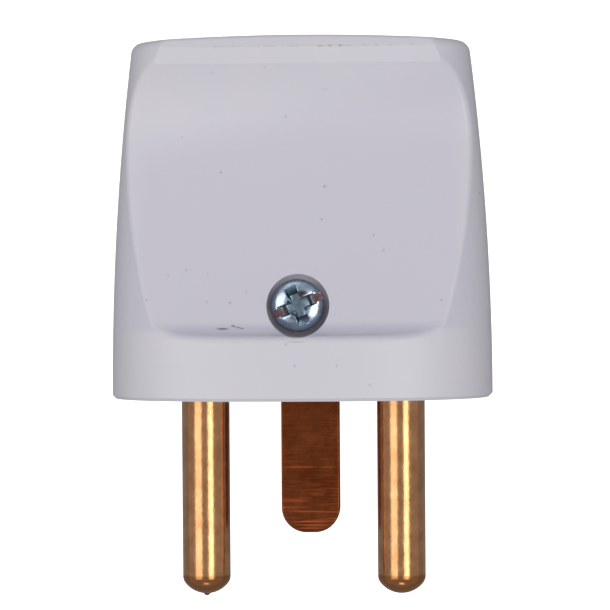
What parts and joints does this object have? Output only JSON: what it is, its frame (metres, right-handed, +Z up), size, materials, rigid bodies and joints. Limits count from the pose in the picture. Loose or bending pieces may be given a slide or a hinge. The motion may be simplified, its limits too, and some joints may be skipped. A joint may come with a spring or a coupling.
{
  "type": "electrical plug",
  "caption": "Rewirable electrical plug: tapered two-shell body with scooped grips, a cover screw, round pins and a shorter flat earth blade.",
  "frame": {"origin": "centre of the whole plug's plan box, on the surface that it lies on", "axes": "+Z up out of the screw side, +Y towards the cord entry, +X to the right seen from the screw side; the pins point along -Y and rise 8.0 degrees"},
  "size_m": [0.0554, 0.082, 0.0341],
  "materials": {
    "cover_plastic": "satin white moulding",
    "pin_brass": "turned, bright",
    "blade_copper": "stamped, scratched",
    "zinc_steel": "blue zinc plated",
    "terminal_brass": "plain"
  },
  "bodies": {
    "root": {"front_cover": "cover_plastic", "rear_cover": "cover_plastic", "cord_clamp": "cover_plastic", "cover_screw": "zinc_steel", "cover_insert": "terminal_brass", "line_pin": "pin_brass", "neutral_pin": "pin_brass", "earth_blade": "blade_copper", "line_terminal_screw": "zinc_steel", "neutral_terminal_screw": "zinc_steel", "earth_terminal_screw": "zinc_steel", "earth_washer": "terminal_brass", "cord_clamp_screws": "zinc_steel"}
  },
  "joints": []
}
